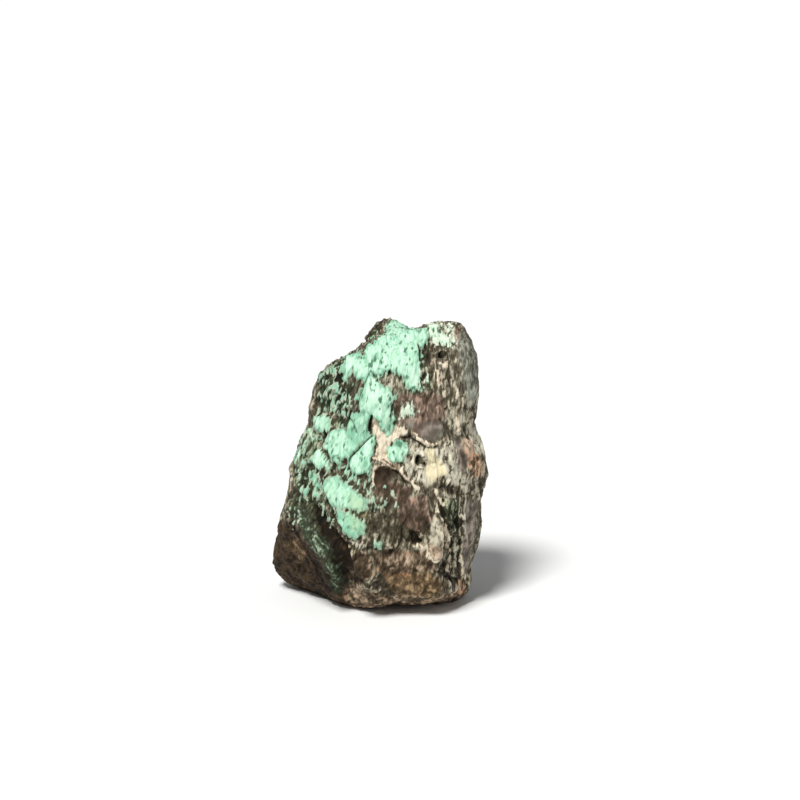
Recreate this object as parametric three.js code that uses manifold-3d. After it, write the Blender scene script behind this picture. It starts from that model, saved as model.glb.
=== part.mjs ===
// A hand specimen of chrysocolla: one broken nugget of dark ironstone matrix, 43 mm tall, with a thin
// cracked crust of chrysocolla over its left front, a limonite vein with a vug across the middle and a
// fibrous right side. It formed as one stone, so it is one solid.
// Millimetres, +Z up, front towards -Y, origin at the middle of its footprint on the surface below it.
import * as THREE from "three";
import { mergeVertices } from "three/addons/utils/BufferGeometryUtils.js";
import { ImprovedNoise } from "three/addons/math/ImprovedNoise.js";
import Module from "manifold-3d";

const wasm = await Module();
wasm.setup();

// Driving dimensions
const HEART_HEIGHT = 21.6; // the point inside the stone that its broken faces are measured from
const EDGE_SHARPNESS = 20; // how crisply two broken faces meet: higher is sharper
const SURFACE_DETAIL = 20; // divisions of each of the 20 faces of the starting icosahedron
const PROPORTIONS = new THREE.Vector3(0.8, 0.62, 1.05); // of the starting ball, close to the stone's
const FRONT_BIAS = 0.12; // shifts the starting ball back, which gives the front smaller triangles
const CRUST_RISE = 0.4; // how far the chrysocolla crust stands above its matrix
const CRUST_EDGE = 0.5; // half the width of the slope at the crust's edge
const WAVE = { length: 7, rise: 0.5 }; // broad waves of the broken faces
const KNOB = { length: 2.6, rise: 0.3 }; // knobs on them
const LEDGE = { length: 9, levels: 3, rise: 0.35 }; // ledges where the stone parted in steps
const FIBRE = { length: 11, width: 1.5, rise: 0.4, starts: 7, full: 12 }; // upright, towards the right
const VIEW_TILT = THREE.MathUtils.degToRad(14); // the front is read from this far above level

// The reader's axes: across to the right, up the face, and towards the eye, from the heart.
const HEART = new THREE.Vector3(0, 0, HEART_HEIGHT);
const ACROSS = new THREE.Vector3(1, 0, 0);
const UP = new THREE.Vector3(0, Math.sin(VIEW_TILT), Math.cos(VIEW_TILT));
const TOWARDS = new THREE.Vector3(0, -Math.cos(VIEW_TILT), Math.sin(VIEW_TILT));

// Broken faces seen edge-on from the front, which make its outline: the way each one faces, in degrees
// anticlockwise from the right, and how far from the heart it lies.
const OUTLINE_FACES = [
  { name: "right side, upper", facing: 2, reach: 15.4 },
  { name: "right shoulder", facing: 45, reach: 23.1 },
  { name: "top", facing: 91, reach: 21.2 },
  { name: "left shoulder", facing: 122, reach: 16.8 },
  { name: "left brow", facing: 158, reach: 13.1 },
  { name: "left side", facing: 168, reach: 12.9 },
  { name: "left foot", facing: 214, reach: 23.4 },
  { name: "sole, left", facing: 256, reach: 22.3 },
  { name: "sole, right", facing: 277, reach: 22.2 },
  { name: "right foot", facing: 310, reach: 24.6 },
  { name: "right side, lower", facing: 350, reach: 17.1 },
];

// Broken faces of the front and the back: compass heading from the front (0) towards the right (90),
// slope of the face's normal above level, both in degrees, and how far from the heart it lies.
const BROKEN_FACES = [
  { name: "left front, under the crust", heading: -36, slope: 12, reach: 11.2 },
  { name: "front", heading: 9, slope: 6, reach: 11.4 },
  { name: "right front, fibrous", heading: 54, slope: -3, reach: 14.6 },
  { name: "lower left, in shade", heading: -52, slope: -24, reach: 15.8 },
  { name: "under the front", heading: 9, slope: -40, reach: 19.8 },
  { name: "brow", heading: 4, slope: 48, reach: 19.4 },
  { name: "back", heading: 176, slope: 4, reach: 11.6 },
  { name: "back left", heading: -136, slope: 12, reach: 12.6 },
  { name: "back right", heading: 136, slope: -6, reach: 14.2 },
  { name: "under the back", heading: 172, slope: -44, reach: 20.2 },
  { name: "top back", heading: 178, slope: 50, reach: 18.4 },
];

// Swellings and hollows that run right through from front to back, and show in the outline: where they
// lie across and up, how far they spread, and how far they rise, with a hollow below zero.
const OUTLINE_SWELLINGS = [
  { name: "waist on the right", at: [15, 5.9], spread: 3, rise: -1.8 },
  { name: "hip on the right", at: [16, -2.2], spread: 3.6, rise: 0.6 },
  { name: "right side above the foot", at: [14.2, -15], spread: 2.8, rise: -0.8 },
  { name: "hump of the top", at: [10.2, 21.4], spread: 2.4, rise: 0.5 },
  { name: "notch in the top", at: [5.4, 21.2], spread: 1.6, rise: -0.4 },
  { name: "notch in the left shoulder", at: [-3.3, 18], spread: 1.8, rise: -0.8 },
  { name: "corner of the left shoulder", at: [-8.8, 14.4], spread: 2.2, rise: 0.4 },
  { name: "hollow in the left side", at: [-11.6, 6.5], spread: 4, rise: -0.5 },
  { name: "left foot", at: [-16, -14.5], spread: 2.2, rise: 1 },
];

// Local swellings and hollows, with their third number towards the reader.
const SWELLINGS = [
  { name: "crown", at: [0.4, 20.8, 2], spread: 3.3, rise: 2.1 },
  { name: "hollow under the left front", at: [-5, -20, 5], spread: 3.8, rise: -2.7 },
  { name: "belly of the front", at: [-1.5, -9, 12], spread: 5, rise: 1.2 },
  { name: "hollow under the belly", at: [3, -17.5, 9], spread: 3.2, rise: -0.9 },
  { name: "hollow left of the belly", at: [-9.5, -1, 9], spread: 2.6, rise: -0.6 },
  { name: "boss on the purple face", at: [6.2, 8.5, 12], spread: 3, rise: 0.5 },
  { name: "eye, a smooth hollow", at: [0.6, -1.7, 13], spread: 1.6, rise: -0.7 },
  { name: "dish in the left back", at: [-7, 4, -11], spread: 4.5, rise: -1.4 },
  { name: "knuckle on the back", at: [3, -6, -12], spread: 4, rise: 1.3 },
  { name: "dish in the right back", at: [10, 9, -8], spread: 3.6, rise: -1.1 },
];

// Plates of crust on the front, each outlined across and up.
const FRONT_CRUST = [
  // crown
  [[1.1, 20.9], [4, 20.6], [6.6, 19.7], [7.2, 18.9], [6.4, 17.7], [6.2, 13.8], [4.6, 11.1], [2.6, 13.5],
   [0.1, 13.1], [-2.9, 12.6], [-3.8, 14], [-5, 11.8], [-5.8, 12.6], [-5.5, 14.8], [-2.3, 17], [-0.4, 19.9]],
  // middle
  [[-1.6, 12.8], [1.1, 10.9], [2.2, 9.6], [1.6, 6.2], [1.1, 5.2], [-1.6, 7.2], [-2.8, 8.2], [-3.1, 9.4]],
  [[-4.1, 7.7], [-1.6, 7.4], [-1.6, 5.2], [-3.1, 3.5], [-4.3, 5], [-4.5, 6.4]],
  [[-7, 5.1], [-4.3, 5], [-3.1, 3.5], [-3.3, 2], [-4.8, 1], [-6.5, 0.4], [-7.7, 1.8], [-8.1, 3.5]],
  [[-1.4, 4.2], [-0.6, 3.7], [-0.6, 2.3], [-1.4, -1.2], [-3.1, -1.5], [-4.5, -0.7], [-4.5, 0.6], [-2.3, 3]],
  [[2.1, 3.3], [3.8, 3.3], [4.3, 2], [3.3, 0.6], [2.1, 0.3], [1.3, 1.3]],
  // left edge
  [[-9.9, 7.3], [-7.2, 7.5], [-6.8, 6.4], [-9, 5.1], [-9.9, 5.7]],
  [[-9.4, 1.8], [-8.2, 1.3], [-7.2, -0.2], [-7.7, -1.4], [-9, -1.2], [-9, -5.1], [-9.7, -5.1], [-10.4, -0.2]],
  // belly
  [[-7.2, -2], [-5.5, -2.1], [-4.3, -3.9], [-2.3, -4.8], [-1.9, -6.1], [-2.8, -7], [-5.3, -7.5],
   [-6.8, -6.8], [-8.1, -3.4]],
  [[-6, -7.3], [-4.8, -7], [-3.8, -8], [-2.6, -7.8], [-1.9, -8.8], [-2.3, -10.2], [-3.8, -10.8],
   [-5.3, -10.2], [-6, -9]],
];

// Grooves and ridges of the front along lines across and up: half their width, and their rise.
const FRONT_SEAMS = [
  { name: "groove beside the belly", halfWidth: 1.2, rise: -1.1,
    line: [[-9.8, -4], [-8.7, -8.3], [-7, -12.2], [-5.3, -15.9], [-4.3, -18.1]] },
  { name: "ridge of sage crust", halfWidth: 1.1, rise: 0.7,
    line: [[-11.9, -8.8], [-10.4, -11], [-9, -12.2], [-7.7, -13.4], [-7, -15.9]] },
  { name: "seam down the right front", halfWidth: 0.9, rise: -0.6,
    line: [[9.7, 12.8], [9.9, 7.7], [11.1, 3.8], [11.9, -0.7], [11.6, -3.6]] },
  { name: "fissure, lower right", halfWidth: 0.9, rise: -0.8,
    line: [[8.9, -6], [9.9, -10.9], [10.1, -15.8]] },
  { name: "second fissure, lower right", halfWidth: 0.8, rise: -0.6,
    line: [[11.9, -3.6], [12, -8.5], [11.8, -17]] },
  { name: "rim of the purple face", halfWidth: 0.7, rise: 0.5, line: [[4.5, 4.5], [6, 3.2], [7.7, 2.7]] },
  { name: "rim of the eye", halfWidth: 0.7, rise: 0.5,
    line: [[-0.6, 0.6], [1.3, -0.2], [3.3, -1.2], [3.8, -2.4], [5.5, -3.6]] },
  { name: "nodule", halfWidth: 1.1, rise: 0.9, line: [[8.4, -9], [8.2, -11], [7.9, -13]] },
  { name: "ledge under the belly", halfWidth: 1, rise: 0.5,
    line: [[-3, -15.4], [2, -15], [7, -15.6], [11, -16.6]] },
];

// The back is read from behind, level: across to its own right, and up.
const BACK_CRUST = [
  [[9.5, 12], [6, 15.5], [1.5, 14], [0.5, 10], [3.5, 8.5], [8, 7.5]],
  [[10.5, 3], [7, 5], [5, 3], [6, 0.5], [9.8, -0.5]],
  [[-3, -6], [-0.5, -5], [0.8, -8], [-1.5, -10.5], [-4.5, -9]],
];
const BACK_SEAMS = [
  { name: "long groove", halfWidth: 1.3, rise: -1,
    line: [[-9, 15], [-6, 8], [-5.5, 1], [-8, -7]] },
  { name: "limonite vein", halfWidth: 1.1, rise: 0.7,
    line: [[13, -2], [7, -3.5], [0, -2], [-7, -4], [-12, -2.5]] },
  { name: "fissure to the base", halfWidth: 1, rise: -0.8,
    line: [[4, -9], [2.5, -14], [4.5, -19]] },
];

// Natural holes: where each one opens on the front, its radius and depth.
const VUGS = [
  { name: "vug in the limonite", across: 6, up: 0.4, radius: 0.8, depth: 2 },
  { name: "bore in the right shoulder", across: 9.4, up: 16.1, radius: 0.6, depth: 1.4 },
  { name: "pocket beside the nodule", across: 5.6, up: -11.2, radius: 0.8, depth: 1.2 },
];

const { smoothstep } = THREE.MathUtils;
const noise = new ImprovedNoise();

// A unit vector from a compass heading and a slope, in degrees.
function fromHeading(heading, slope) {
  const around = THREE.MathUtils.degToRad(heading);
  const up = THREE.MathUtils.degToRad(slope);
  return new THREE.Vector3(
    Math.sin(around) * Math.cos(up),
    -Math.cos(around) * Math.cos(up),
    Math.sin(up),
  );
}

// A unit vector square to the reader's line of sight.
function fromOutline(facing) {
  const angle = THREE.MathUtils.degToRad(facing);
  return ACROSS.clone().multiplyScalar(Math.cos(angle)).addScaledVector(UP, Math.sin(angle));
}

const faces = [
  ...OUTLINE_FACES.map(({ facing, reach }) => ({ normal: fromOutline(facing), reach })),
  ...BROKEN_FACES.map(({ heading, slope, reach }) => ({ normal: fromHeading(heading, slope), reach })),
];

// How far the broken block reaches from its heart along a ray, with its edges worn round.
function blockReach(ray) {
  let sum = 0;
  for (const { normal, reach } of faces) {
    const facing = Math.max(0, normal.dot(ray));
    sum += (facing / reach) ** EDGE_SHARPNESS;
  }
  return sum ** (-1 / EDGE_SHARPNESS);
}

// The distance from a point on a face to a line of joined stretches.
function distanceToLine(point, line) {
  let least = Infinity;
  for (let i = 1; i < line.length; i++) {
    const [ax, ay] = line[i - 1];
    const [bx, by] = line[i];
    const run = (bx - ax) ** 2 + (by - ay) ** 2;
    const along = ((point.x - ax) * (bx - ax) + (point.y - ay) * (by - ay)) / run;
    const t = THREE.MathUtils.clamp(along, 0, 1);
    least = Math.min(least, Math.hypot(point.x - ax - t * (bx - ax), point.y - ay - t * (by - ay)));
  }
  return least;
}

// How far inside an outline a point lies, below zero outside it.
function depthInside(point, outline) {
  let inside = false;
  outline.forEach(([ax, ay], i) => {
    const [bx, by] = outline[(i + 1) % outline.length];
    const crosses = ay > point.y !== by > point.y;
    if (crosses && point.x < ax + ((point.y - ay) / (by - ay)) * (bx - ax)) inside = !inside;
  });
  const distance = distanceToLine(point, [...outline, outline[0]]);
  return inside ? distance : -distance;
}

function swellingRise(onReader) {
  const swellings = [...OUTLINE_SWELLINGS, ...SWELLINGS];
  return swellings.reduce((sum, { at: [x, y, z = onReader.z], spread, rise }) => {
    const away = onReader.distanceTo(new THREE.Vector3(x, y, z));
    return sum + rise * Math.exp(-((away / spread) ** 2));
  }, 0);
}

function crustRise(onFace, plates) {
  const depth = Math.max(...plates.map((plate) => depthInside(onFace, plate)));
  return CRUST_RISE * smoothstep(depth, -CRUST_EDGE, CRUST_EDGE);
}

function seamRise(onFace, seams) {
  return seams.reduce((sum, { line, halfWidth, rise }) => {
    const away = distanceToLine(onFace, line) / halfWidth;
    return sum + rise * Math.exp(-(away ** 2));
  }, 0);
}

function marksRise(onReader, p) {
  if (onReader.z > 0) {
    const onFront = new THREE.Vector2(onReader.x, onReader.y);
    const marks = crustRise(onFront, FRONT_CRUST) + seamRise(onFront, FRONT_SEAMS);
    return marks * smoothstep(onReader.z, 1, 4);
  }
  const onBack = new THREE.Vector2(-p.x, p.z);
  const marks = crustRise(onBack, BACK_CRUST) + seamRise(onBack, BACK_SEAMS);
  return marks * smoothstep(p.y, 3, 7);
}

// The hackly break of the matrix: waves, knobs and ledges.
function breakRise(p) {
  const waves = noise.noise(p.x / WAVE.length, p.y / WAVE.length, p.z / WAVE.length);
  const knobs = noise.noise(p.x / KNOB.length, p.y / KNOB.length, p.z / KNOB.length);
  const level = LEDGE.levels * noise.noise(p.x / LEDGE.length, p.y / LEDGE.length, p.z / LEDGE.length);
  const ledge = Math.floor(level) + smoothstep(level - Math.floor(level), 0.35, 0.65);
  return WAVE.rise * waves + KNOB.rise * knobs + LEDGE.rise * ledge;
}

// Upright fibres down the right side of the stone.
function fibreRise(p) {
  const onRight = smoothstep(p.x, FIBRE.starts, FIBRE.full);
  return FIBRE.rise * onRight * noise.noise(p.x / FIBRE.width, p.y / FIBRE.width, p.z / FIBRE.length);
}

function stoneSurface() {
  const start = new THREE.IcosahedronGeometry(1, SURFACE_DETAIL);
  start.deleteAttribute("normal");
  start.deleteAttribute("uv");
  const surface = mergeVertices(start, 1e-5);
  const place = surface.attributes.position;
  const ray = new THREE.Vector3();
  for (let i = 0; i < place.count; i++) {
    ray.fromBufferAttribute(place, i).multiply(PROPORTIONS);
    ray.y -= FRONT_BIAS;
    ray.normalize();
    const p = ray.clone().multiplyScalar(blockReach(ray));
    const onReader = new THREE.Vector3(p.dot(ACROSS), p.dot(UP), p.dot(TOWARDS));
    const rise = swellingRise(onReader) + marksRise(onReader, p) + breakRise(p) + fibreRise(p);
    const reach = Math.min(p.length() + rise, HEART_HEIGHT / Math.max(-ray.z, 1e-6));
    p.copy(ray).multiplyScalar(reach).add(HEART);
    place.setXYZ(i, p.x, p.y, p.z);
  }
  return surface;
}

function solidOf(geometry) {
  const mesh = new wasm.Mesh({
    numProp: 3,
    vertProperties: geometry.attributes.position.array,
    triVerts: new Uint32Array(geometry.index.array),
  });
  return new wasm.Manifold(mesh);
}

function geometryOf(solid) {
  const { vertProperties, triVerts } = solid.getMesh();
  return new THREE.BufferGeometry()
    .setAttribute("position", new THREE.BufferAttribute(vertProperties, 3))
    .setIndex(new THREE.BufferAttribute(triVerts, 1));
}

// Where the reader's line of sight meets the stone.
function pointOnFront(stone, across, up) {
  const start = HEART.clone().addScaledVector(ACROSS, across).addScaledVector(UP, up);
  start.addScaledVector(TOWARDS, 50);
  const sight = new THREE.Raycaster(start, TOWARDS.clone().negate());
  return sight.intersectObject(new THREE.Mesh(geometryOf(stone)))[0].point;
}

// A hole's worn, rounded shape, which goes into the stone along the line of sight.
function vugShape(stone, { across, up, radius, depth }) {
  const ball = new THREE.IcosahedronGeometry(1, 2);
  ball.deleteAttribute("normal");
  ball.deleteAttribute("uv");
  const shape = mergeVertices(ball, 1e-5);
  shape.scale(radius, radius, depth).lookAt(TOWARDS);
  const opening = pointOnFront(stone, across, up);
  return solidOf(shape.translate(opening.x, opening.y, opening.z));
}

const block = solidOf(stoneSurface());
const stone = VUGS.reduce((left, vug) => left.subtract(vugShape(block, vug)), block);

const surface = geometryOf(stone);
surface.computeBoundingBox();
const middle = surface.boundingBox.getCenter(new THREE.Vector3());
surface.translate(-middle.x, -middle.y, -surface.boundingBox.min.z);

const specimen = new THREE.Mesh(
  surface,
  new THREE.MeshStandardMaterial({ color: 0x5e544c, roughness: 0.85, metalness: 0 }),
);
specimen.name = "chrysocolla_specimen";

const group = new THREE.Group();
group.add(specimen);

export default group;
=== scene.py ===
import math

import bpy
import numpy as np
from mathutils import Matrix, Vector, noise


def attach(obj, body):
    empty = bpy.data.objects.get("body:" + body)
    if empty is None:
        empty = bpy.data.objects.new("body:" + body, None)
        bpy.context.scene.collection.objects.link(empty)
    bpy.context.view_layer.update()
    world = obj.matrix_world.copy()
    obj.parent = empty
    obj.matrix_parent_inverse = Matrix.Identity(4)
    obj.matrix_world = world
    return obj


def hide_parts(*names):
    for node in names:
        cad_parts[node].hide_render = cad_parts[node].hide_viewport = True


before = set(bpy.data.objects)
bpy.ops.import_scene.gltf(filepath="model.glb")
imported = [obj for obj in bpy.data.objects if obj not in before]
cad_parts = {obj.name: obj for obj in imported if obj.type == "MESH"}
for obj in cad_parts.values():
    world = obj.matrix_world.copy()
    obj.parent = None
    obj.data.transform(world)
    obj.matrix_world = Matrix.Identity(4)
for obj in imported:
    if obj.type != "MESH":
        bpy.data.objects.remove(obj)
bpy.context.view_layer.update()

# ---------------------------------------------------------------- the stone's own directions
# Millimetres, in the part's frame. HEART is the point that the stone's surface is measured from,
# and marks on the front are laid out as a reader sees them: across to the right, up along the face.
MM = 0.001
HEART = np.array([0.181, 0.288, 21.6])
VIEW_TILT = math.radians(14)
ACROSS = np.array([1.0, 0.0, 0.0])
UP = np.array([0.0, math.sin(VIEW_TILT), math.cos(VIEW_TILT)])
TOWARDS = np.array([0.0, -math.cos(VIEW_TILT), math.sin(VIEW_TILT)])
FRONT_FADE = (-4.5, -1.5)   # depth, from the heart, over which the front's marks fade out to the rear
FACING_FADE = (-0.24, 0.3)  # the front also takes in what faces the reader, by the cosine of its turn
BACK_FADE = (2.0, 6.0)      # distance behind the heart over which the back's own marks come in

VOXEL = 0.205               # grid that the solid is resampled on, so that fine relief has faces to stand on
FACET_SMOOTHING = 8         # rounds that take the solid's flat facets away
BASE_FLAT = 0.2             # what lies this close to the base plane is part of the base
BASE_FADE = 1.2             # relief dies away over this height above the base
CRUST_SPREAD = 0.15         # the crust reaches this far past its outlines
NEAT_SPREAD = 0.2           # and its neater pieces this far
SETTLED = 0.15              # the whole surface lies this much lower, to leave room for what stands up
CHIP_SEED = 17.3            # spreads the chips' leans
FACES_KEPT = 0.7            # share of the mesh that stays when it is thinned away from the front

# ---------------------------------------------------------------- copper crust, as outlines on the front
CRUST = [
    # crown over the top
    [(-5.9, 14.6), (-4.2, 16.4), (-3.1, 16.7), (-2.7, 15.7), (-2.1, 15.9), (-1.8, 17.2), (-1.0, 17.9),
     (0.1, 18.6), (0.9, 19.6), (1.3, 20.8), (2.6, 21.6), (3.9, 20.9), (4.3, 19.9), (7.3, 19.8),
     (7.1, 18.3), (6.6, 17.6), (6.0, 16.6), (6.2, 15.2), (6.5, 14.4), (6.1, 13.1), (5.8, 11.4),
     (5.2, 10.7), (4.3, 11.1), (3.7, 12.3), (2.6, 13.6), (1.3, 13.5), (0.3, 12.8), (-1.2, 13.5),
     (-2.2, 12.0), (-3.2, 12.6), (-4.0, 14.0), (-5.0, 11.8), (-5.8, 12.6)],
    # below the crown, to the slit
    [(-2.1, 12.1), (-1.4, 12.9), (0.3, 11.5), (1.3, 10.8), (2.3, 9.8), (2.0, 8.6), (2.0, 6.8),
     (1.8, 5.4), (1.3, 4.5), (0.4, 5.0), (0.1, 6.6), (-0.9, 6.9), (-1.7, 7.3), (-2.9, 8.2), (-3.4, 9.6)],
    # small plate right of the cream vein
    [(2.9, 3.4), (4.0, 3.1), (4.2, 1.9), (3.6, 1.4), (3.3, 0.4), (2.0, 0.3), (1.5, 1.2), (1.4, 2.3),
     (2.0, 3.0)],
    # left edge, top to bottom
    [(-9.8, 7.0), (-8.8, 7.3), (-7.8, 6.9), (-7.2, 6.2), (-7.5, 5.1), (-8.5, 4.7), (-9.4, 4.8),
     (-9.8, 5.6)],
    [(-9.4, 2.0), (-8.6, 1.8), (-7.7, 0.8), (-7.1, -0.9), (-8.1, -0.5), (-9.0, -0.8), (-9.7, -0.3),
     (-10.3, 0.4)],
    [(-10.4, -1.5), (-9.3, -1.1), (-9.0, -2.6), (-8.9, -4.6), (-9.2, -5.7), (-9.8, -4.6), (-9.6, -3.1)],
    # belly
    [(-7.1, -1.9), (-5.6, -2.0), (-5.0, -3.0), (-3.9, -3.5), (-3.0, -4.4), (-1.9, -5.2), (-1.9, -6.3),
     (-2.7, -7.0), (-3.8, -6.7), (-5.0, -6.6), (-6.3, -6.2), (-6.9, -5.5), (-7.5, -4.7), (-8.2, -3.6)],
    [(-6.0, -6.7), (-4.9, -6.9), (-4.0, -7.4), (-3.7, -8.1), (-2.6, -8.0), (-2.3, -9.1), (-2.5, -10.1),
     (-3.2, -10.7), (-4.5, -10.6), (-5.2, -9.8), (-5.9, -9.0)],
    # last chips
    [(-0.6, -12.0), (-0.1, -11.7), (0.3, -12.9)],
    [(5.2, 12.0), (6.1, 11.8), (6.1, 10.8), (5.3, 10.6)],
]
# pieces of crust with a cleaner edge
NEAT_CRUST = [
    # leaning plate left of the slit
    [(-4.6, 6.6), (-4.0, 7.4), (-2.9, 7.3), (-1.8, 7.6), (-1.6, 6.7), (-1.7, 4.9), (-2.1, 4.1),
     (-2.6, 3.4), (-3.5, 3.3), (-4.3, 4.1), (-4.7, 5.3)],
    # middle plate
    [(-7.7, 3.8), (-7.4, 4.8), (-6.3, 4.9), (-5.3, 5.2), (-4.8, 4.7), (-4.5, 3.9), (-3.7, 3.1),
     (-3.1, 2.7), (-3.8, 1.9), (-4.8, 1.0), (-5.6, 0.9), (-6.2, 0.2), (-6.8, 0.2), (-7.2, 0.9),
     (-7.6, 1.9), (-8.3, 2.4)],
    # plate under it, to the right
    [(-1.8, 3.9), (-1.1, 4.2), (-0.5, 2.8), (-1.0, 1.9), (-1.4, 1.0), (-1.4, -1.2), (-2.4, -1.3),
     (-3.5, -1.6), (-4.1, -1.1), (-4.4, -0.3), (-4.6, 0.5), (-4.0, 1.0), (-3.0, 2.0)],
    # pale tongue beyond the crown
    [(7.4, 20.5), (8.6, 20.6), (8.7, 19.7), (9.5, 18.9), (10.4, 18.5), (10.4, 17.8), (9.5, 17.7),
     (8.5, 18.4), (7.7, 19.1), (7.5, 19.8)],
    # blob on the purple face
    [(3.6, 8.0), (4.2, 8.3), (4.7, 8.0), (5.0, 7.3), (4.3, 7.1), (3.8, 7.4)],
]
# thin dull crust that has let the matrix through
SAGE = [
    [(-12.9, -6.4), (-11.6, -6.2), (-10.9, -7.9), (-9.7, -9.0), (-8.9, -10.6), (-7.6, -12.2),
     (-6.9, -13.9), (-6.0, -15.8), (-5.5, -18.8), (-6.8, -19.4), (-7.6, -16.6), (-8.7, -14.3),
     (-9.9, -12.4), (-11.1, -10.4), (-12.2, -8.6)],
]
# the crust's hairline breaks: half width, depth, line
CRACKS = [
    (0.19, 0.34, [(-1.0, 4.2), (-1.8, 3.5), (-3.0, 2.3), (-4.3, 1.0), (-4.6, 0.3)]),
    (0.19, 0.28, [(-3.8, 7.6), (-3.0, 9.4), (-2.2, 11.8), (-1.3, 13.7), (-0.7, 12.7)]),
    (0.19, 0.4, [(5.8, 17.6), (6.1, 16.2), (6.2, 15.2)]),
    (0.17, 0.7, [(-1.15, 6.9), (-1.3, 5.8), (-1.4, 4.8)]),
    (0.22, 0.36, [(3.3, 3.9), (4.6, 3.8), (5.7, 3.2), (6.7, 2.5)]),
    (0.14, 0.18, [(6.9, 2.3), (8.2, 2.4), (9.2, 3.0)]),
    (0.14, 0.35, [(1.9, -1.0), (2.8, -1.5), (3.6, -2.4), (4.1, -3.4)]),
    (0.2, 0.25, [(-4.5, 6.8), (-3.8, 5.9), (-3.4, 4.6)]),
    (0.19, 0.2, [(-2.3, 7.4), (-2.2, 6.0), (-2.5, 4.9)]),
    (0.2, 0.4, [(10.8, -16.6), (12.1, -17.8)]),
]
# long strokes of the grain: half width, how far they stand up, how much lighter they are, line
STROKES = [
    (0.18, -0.25, -0.25, [(-12.9, -9.4), (-11.3, -12.6), (-9.3, -16.5), (-7.4, -19.4)]),
    (0.14, 0.15, 0.2, [(10.0, -6.1), (10.8, -8.4), (11.3, -11.4), (11.5, -14.5)]),
    (0.14, 0.15, 0.18, [(11.2, -4.7), (11.9, -7.6), (12.2, -11.4)]),
    (0.14, 0.15, 0.2, [(10.5, -2.4), (9.9, -4.2), (10.0, -6.1)]),
    (0.14, 0.15, 0.15, [(12.9, -5.4), (12.8, -8.4), (13.3, -12.2)]),
    (0.2, -0.35, -0.3, [(10.3, -9.8), (11.0, -12.1), (11.2, -15.2), (10.8, -17.4)]),
    (0.18, -0.35, -0.3, [(11.5, -8.4), (12.1, -12.2), (12.0, -15.3)]),
    (0.2, -0.3, -0.18, [(9.4, -5.4), (9.5, -7.6), (10.0, -9.4)]),
    (0.18, -0.3, -0.1, [(6.9, -8.6), (6.8, -10.0), (6.9, -11.2)]),
    (0.16, -0.25, -0.2, [(9.6, -8.8), (9.5, -10.6), (9.7, -12.6)]),
    (0.16, -0.25, -0.18, [(9.2, 6.4), (10.0, 5.3), (10.4, 3.5)]),
]
# worn lips that narrow the holes: half width, how far they stand in, line
LIPS = [
    (0.25, 0.25, [(5.4, 0.9), (5.2, 0.2), (5.4, -0.2)]),
    (0.35, 0.5, [(6.5, 1.2), (6.9, 0.6)]),
    (0.3, 0.5, [(5.8, 1.5), (6.5, 1.35)]),
    (0.16, 0.4, [(6.1, 0.3), (6.1, -0.2)]),
    (0.4, 0.5, [(5.0, -10.9), (4.9, -11.5), (5.4, -12.0)]),
    (0.3, 0.15, [(9.3, 16.5), (9.7, 16.2)]),
]
# small sinks: across, up, radius, depth
PITS = [
    (5.7, 0.6, 0.32, 0.5), (6.5, 0.1, 0.22, 0.4), (6.5, -0.5, 0.3, 0.6), (4.6, -9.9, 0.35, 0.35),
    (5.1, -10.5, 0.35, 0.45), (6.0, -11.3, 0.3, 0.5), (9.4, 16.0, 0.6, 0.3), (4.5, 4.1, 0.3, 0.4),
    (1.6, 13.4, 0.2, 0.32), (0.1, 12.95, 0.28, 0.45), (0.35, 14.9, 0.2, 0.4), (3.9, 15.8, 0.17, 0.35),
    (0.0, 15.4, 0.17, 0.3), (-2.6, 15.6, 0.25, 0.4), (-2.3, 18.6, 0.45, 0.5), (1.7, 7.0, 0.2, 0.3),
    (9.8, 7.9, 0.35, 0.35), (10.8, 11.9, 0.3, 0.4), (12.9, 8.2, 0.3, 0.3), (-6.1, 0.8, 0.25, 0.4),
    (-4.0, -7.6, 0.2, 0.35), (-5.4, 0.2, 0.2, 0.3), (3.2, 12.2, 0.2, 0.3), (-3.2, 8.9, 0.18, 0.3),
    (-7.9, 3.0, 0.3, 0.4), (-8.4, 4.2, 0.35, 0.4), (7.4, 18.4, 0.3, 0.35), (4.0, -16.0, 0.35, 0.3),
    (5.2, -15.9, 0.35, 0.3), (-6.6, 10.3, 0.35, 0.4), (-8.1, 13.0, 0.3, 0.35), (-5.2, 10.6, 0.4, 0.4),
    (-9.3, 9.6, 0.35, 0.35),
]
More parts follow.
